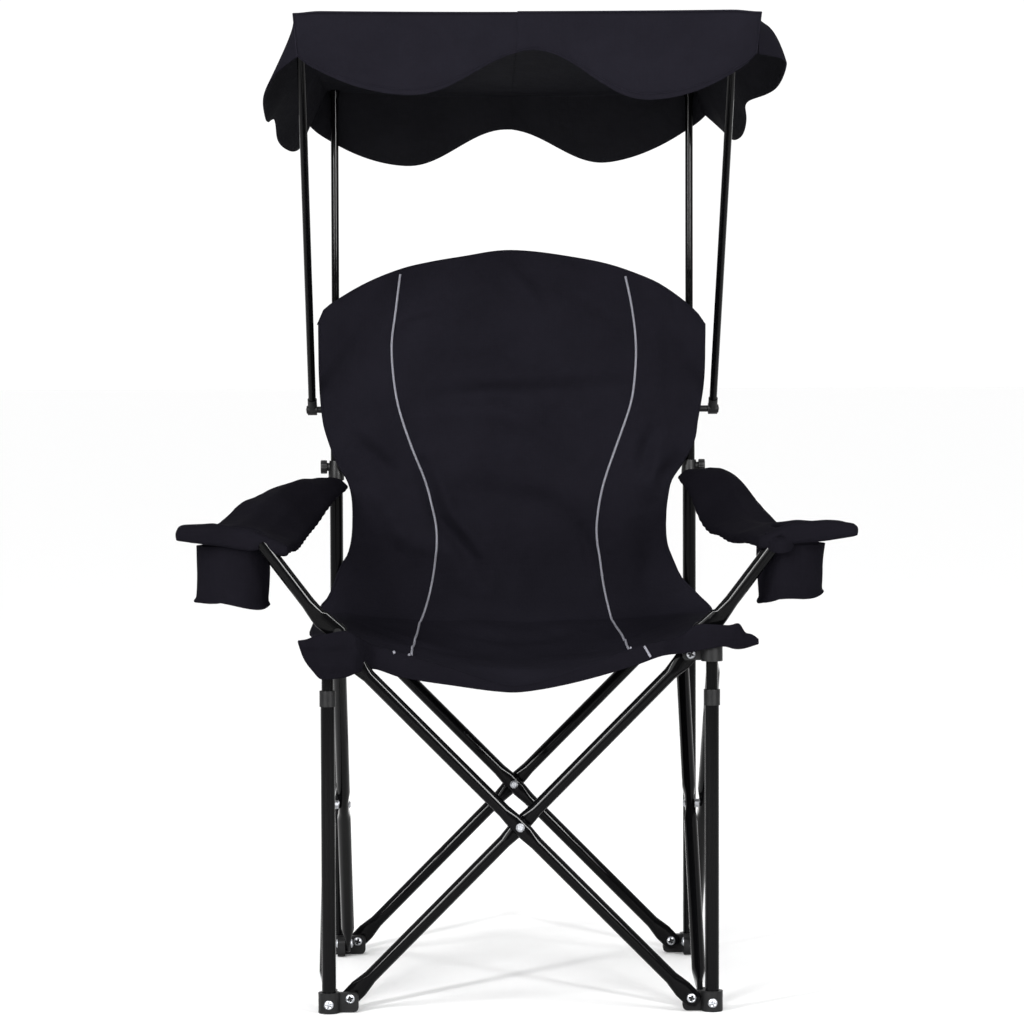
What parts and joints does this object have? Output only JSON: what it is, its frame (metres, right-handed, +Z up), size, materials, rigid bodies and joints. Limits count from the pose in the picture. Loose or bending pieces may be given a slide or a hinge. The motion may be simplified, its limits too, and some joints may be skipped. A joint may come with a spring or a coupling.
{
  "type": "folding camping chair with canopy",
  "caption": "Folding camp chair: scissor-braced steel tube frame, sling seat and back, armrests with cup pockets and a tilting scalloped canopy on telescoping rear posts",
  "frame": {"origin": "on the floor, under the middle of the four posts", "axes": "+Z up, the sitter faces -Y, +X to the right seen from the front"},
  "size_m": [0.92, 0.5433, 1.3342],
  "materials": {
    "coated_steel": "gloss black powder coat on steel tube",
    "black_plastic": "satin moulded black nylon",
    "cloth": "woven black polyester",
    "bright_screw": "zinc plated"
  },
  "bodies": {
    "leg_front_left": {"foot_front_left": "black_plastic", "leg_tube_left": "coated_steel", "leg_collar_left": "black_plastic"},
    "cross_front_inner": {"cross_front_inner": "coated_steel", "cross_rivet_front": "bright_screw"},
    "cross_front_outer": {"cross_front_outer": "coated_steel"},
    "leg_front_right": {"foot_front_right": "black_plastic", "leg_tube_right": "coated_steel", "leg_collar_right": "black_plastic"},
    "hub_front_left": {"hub_front_left": "black_plastic", "inner_post_left": "coated_steel"},
    "hub_front_right": {"hub_front_right": "black_plastic", "inner_post_right": "coated_steel"},
    "cross_left_outer": {"cross_left_outer": "coated_steel", "cross_rivet_left": "bright_screw"},
    "cross_left_inner": {"cross_left_inner": "coated_steel"},
    "leg_rear_left": {"foot_rear_left": "black_plastic", "upright_left": "coated_steel", "clamp_collar_left": "black_plastic"},
    "slider_rear_left": {"slider_rear_left": "black_plastic"},
    "cross_right_inner": {"cross_right_inner": "coated_steel", "cross_rivet_right": "bright_screw"},
    "cross_right_outer": {"cross_right_outer": "coated_steel"},
    "leg_rear_right": {"foot_rear_right": "black_plastic", "upright_right": "coated_steel", "clamp_collar_right": "black_plastic"},
    "slider_rear_right": {"slider_rear_right": "black_plastic"},
    "cross_rear_outer": {"cross_rear_outer": "coated_steel", "cross_rivet_rear": "bright_screw"},
    "cross_rear_inner": {"cross_rear_inner": "coated_steel"},
    "arm_left": {"arm_post_left": "coated_steel", "armrest_left": "cloth", "cup_pocket_left": "cloth"},
    "arm_right": {"arm_post_right": "coated_steel", "armrest_right": "cloth", "cup_pocket_right": "cloth"},
    "seat_front": {"seat_front": "cloth"},
    "seat_rear": {"seat_rear": "cloth"},
    "upper_left": {"upper_tube_left": "coated_steel", "pole_rear_left": "coated_steel", "canopy_bracket_left": "black_plastic", "back": "cloth", "canopy_roof_left": "cloth", "valance_rear_left": "cloth", "valance_side_left": "cloth"},
    "upper_right": {"upper_tube_right": "coated_steel", "pole_rear_right": "coated_steel", "canopy_bracket_right": "black_plastic", "canopy_roof_right": "cloth", "valance_rear_right": "cloth", "valance_side_right": "cloth"},
    "front_pole_left": {"pole_front_left": "coated_steel", "pole_eye_left": "black_plastic", "valance_front_left": "cloth"},
    "front_pole_right": {"pole_front_right": "coated_steel", "pole_eye_right": "black_plastic", "valance_front_right": "cloth"},
    "thumb_screw_left": {"thumb_screw_left": "black_plastic"},
    "thumb_screw_right": {"thumb_screw_right": "black_plastic"}
  },
  "joints": [
    {"name": "fold", "type": "hinge", "parent": "leg_front_left", "child": "cross_front_inner", "pos_m": [-0.228, -0.2414, 0.018], "axis": [0, -1, 0], "range_deg": [0, 34.75], "deforming": ["seat_front", "seat_rear", "back", "armrest_left", "armrest_right", "cup_pocket_left", "cup_pocket_right", "canopy_roof_left", "canopy_roof_right", "valance_front_left", "valance_front_right", "valance_rear_left", "valance_rear_right", "valance_side_left", "valance_side_right"]},
    {"name": "front_crossing", "type": "hinge", "parent": "cross_front_inner", "child": "cross_front_outer", "pos_m": [0, -0.261, 0.248], "axis": [0, -1, 0], "range_deg": [-69.51, 0]},
    {"name": "front_right_foot_pivot", "type": "hinge", "parent": "cross_front_outer", "child": "leg_front_right", "pos_m": [0.228, -0.261, 0.018], "axis": [0, -1, 0], "range_deg": [0, 34.76]},
    {"name": "front_left_hub_pivot", "type": "hinge", "parent": "cross_front_outer", "child": "hub_front_left", "pos_m": [-0.228, -0.261, 0.478], "axis": [0, -1, 0], "range_deg": [0, 34.76]},
    {"name": "front_right_hub_pivot", "type": "hinge", "parent": "cross_front_inner", "child": "hub_front_right", "pos_m": [0.228, -0.2414, 0.478], "axis": [0, -1, 0], "range_deg": [-34.76, 0]},
    {"name": "left_foot_pivot", "type": "hinge", "parent": "leg_front_left", "child": "cross_left_outer", "pos_m": [-0.261, -0.228, 0.018], "axis": [1, 0, 0], "range_deg": [0, 34.76]},
    {"name": "left_crossing", "type": "hinge", "parent": "cross_left_outer", "child": "cross_left_inner", "pos_m": [-0.2414, 0, 0.248], "axis": [1, 0, 0], "range_deg": [-69.51, 0]},
    {"name": "rear_left_foot_pivot", "type": "hinge", "parent": "cross_left_inner", "child": "leg_rear_left", "pos_m": [-0.2414, 0.228, 0.018], "axis": [1, 0, 0], "range_deg": [0, 34.76]},
    {"name": "rear_left_slider_pivot", "type": "hinge", "parent": "cross_left_outer", "child": "slider_rear_left", "pos_m": [-0.261, 0.228, 0.478], "axis": [1, 0, 0], "range_deg": [-34.76, 0]},
    {"name": "right_foot_pivot", "type": "hinge", "parent": "leg_front_right", "child": "cross_right_inner", "pos_m": [0.2414, -0.228, 0.018], "axis": [1, 0, 0], "range_deg": [0, 34.76]},
    {"name": "right_crossing", "type": "hinge", "parent": "cross_right_inner", "child": "cross_right_outer", "pos_m": [0.261, 0, 0.248], "axis": [1, 0, 0], "range_deg": [-69.51, 0]},
    {"name": "rear_right_foot_pivot", "type": "hinge", "parent": "cross_right_outer", "child": "leg_rear_right", "pos_m": [0.261, 0.228, 0.018], "axis": [1, 0, 0], "range_deg": [0, 34.76]},
    {"name": "rear_right_slider_pivot", "type": "hinge", "parent": "cross_right_inner", "child": "slider_rear_right", "pos_m": [0.2414, 0.228, 0.478], "axis": [1, 0, 0], "range_deg": [-34.76, 0]},
    {"name": "rear_foot_pivot", "type": "hinge", "parent": "leg_rear_left", "child": "cross_rear_outer", "pos_m": [-0.228, 0.261, 0.018], "axis": [0, -1, 0], "range_deg": [0, 34.76]},
    {"name": "rear_crossing", "type": "hinge", "parent": "cross_rear_outer", "child": "cross_rear_inner", "pos_m": [0, 0.2414, 0.248], "axis": [0, -1, 0], "range_deg": [-69.51, 0]},
    {"name": "arm_left_swing", "type": "hinge", "parent": "hub_front_left", "child": "arm_left", "pos_m": [-0.242, -0.261, 0.50925], "axis": [0, 1, 0], "range_deg": [0, 32.6]},
    {"name": "arm_right_swing", "type": "hinge", "parent": "hub_front_right", "child": "arm_right", "pos_m": [0.242, -0.261, 0.50925], "axis": [0, -1, 0], "range_deg": [0, 32.6]},
    {"name": "seat_front_fold", "type": "hinge", "parent": "hub_front_left", "child": "seat_front", "pos_m": [0, -0.2424, 0.4978], "axis": [-1, 0, 0], "range_deg": [0, 73.44]},
    {"name": "seat_rear_fold", "type": "hinge", "parent": "slider_rear_left", "child": "seat_rear", "pos_m": [0, 0.2382, 0.4978], "axis": [1, 0, 0], "range_deg": [0, 73.44]},
    {"name": "upper_slide", "type": "slide", "parent": "leg_rear_left", "child": "upper_left", "axis": [0, 0, 1], "range_m": [-0.05, 0], "deforming": ["back"]},
    {"name": "upper_slide_right", "type": "slide", "parent": "leg_rear_right", "child": "upper_right", "axis": [0, 0, 1], "range_m": [-0.0501, 0]},
    {"name": "canopy_tilt", "type": "hinge", "parent": "upper_left", "child": "front_pole_left", "pos_m": [-0.29, 0.256, 0.792], "axis": [-1, 0, 0], "range_deg": [0, 35], "deforming": ["canopy_roof_left", "canopy_roof_right", "valance_front_left", "valance_front_right", "valance_rear_left", "valance_rear_right", "valance_side_left", "valance_side_right"]},
    {"name": "canopy_tilt_right", "type": "hinge", "parent": "upper_right", "child": "front_pole_right", "pos_m": [0.29, 0.256, 0.792], "axis": [-1, 0, 0], "range_deg": [0, 35.01]},
    {"name": "thumb_turn_left", "type": "hinge", "parent": "leg_rear_left", "child": "thumb_screw_left", "pos_m": [-0.256, 0.256, 0.709], "axis": [1, 0, 0], "range_deg": [-180, 180]},
    {"name": "thumb_turn_right", "type": "hinge", "parent": "leg_rear_right", "child": "thumb_screw_right", "pos_m": [0.256, 0.256, 0.709], "axis": [1, 0, 0], "range_deg": [-180, 180]}
  ],
  "couplings": [
    {"joint": "front_crossing", "follows": "fold", "ratio": -2},
    {"joint": "front_right_foot_pivot", "follows": "fold", "ratio": 1},
    {"joint": "front_left_hub_pivot", "follows": "fold", "ratio": 1},
    {"joint": "front_right_hub_pivot", "follows": "fold", "ratio": -1},
    {"joint": "left_foot_pivot", "follows": "fold", "ratio": 1},
    {"joint": "left_crossing", "follows": "fold", "ratio": -2},
    {"joint": "rear_left_foot_pivot", "follows": "fold", "ratio": 1},
    {"joint": "rear_left_slider_pivot", "follows": "fold", "ratio": -1},
    {"joint": "right_foot_pivot", "follows": "fold", "ratio": 1},
    {"joint": "right_crossing", "follows": "fold", "ratio": -2},
    {"joint": "rear_right_foot_pivot", "follows": "fold", "ratio": 1},
    {"joint": "rear_right_slider_pivot", "follows": "fold", "ratio": -1},
    {"joint": "rear_foot_pivot", "follows": "fold", "ratio": 1},
    {"joint": "rear_crossing", "follows": "fold", "ratio": -2},
    {"joint": "arm_left_swing", "follows": "fold", "ratio": 0.938},
    {"joint": "arm_right_swing", "follows": "fold", "ratio": 0.938},
    {"joint": "seat_front_fold", "follows": "fold", "ratio": 2.1131},
    {"joint": "seat_rear_fold", "follows": "fold", "ratio": 2.1131},
    {"joint": "upper_slide_right", "follows": "upper_slide", "ratio": 1},
    {"joint": "canopy_tilt_right", "follows": "canopy_tilt", "ratio": 1}
  ]
}
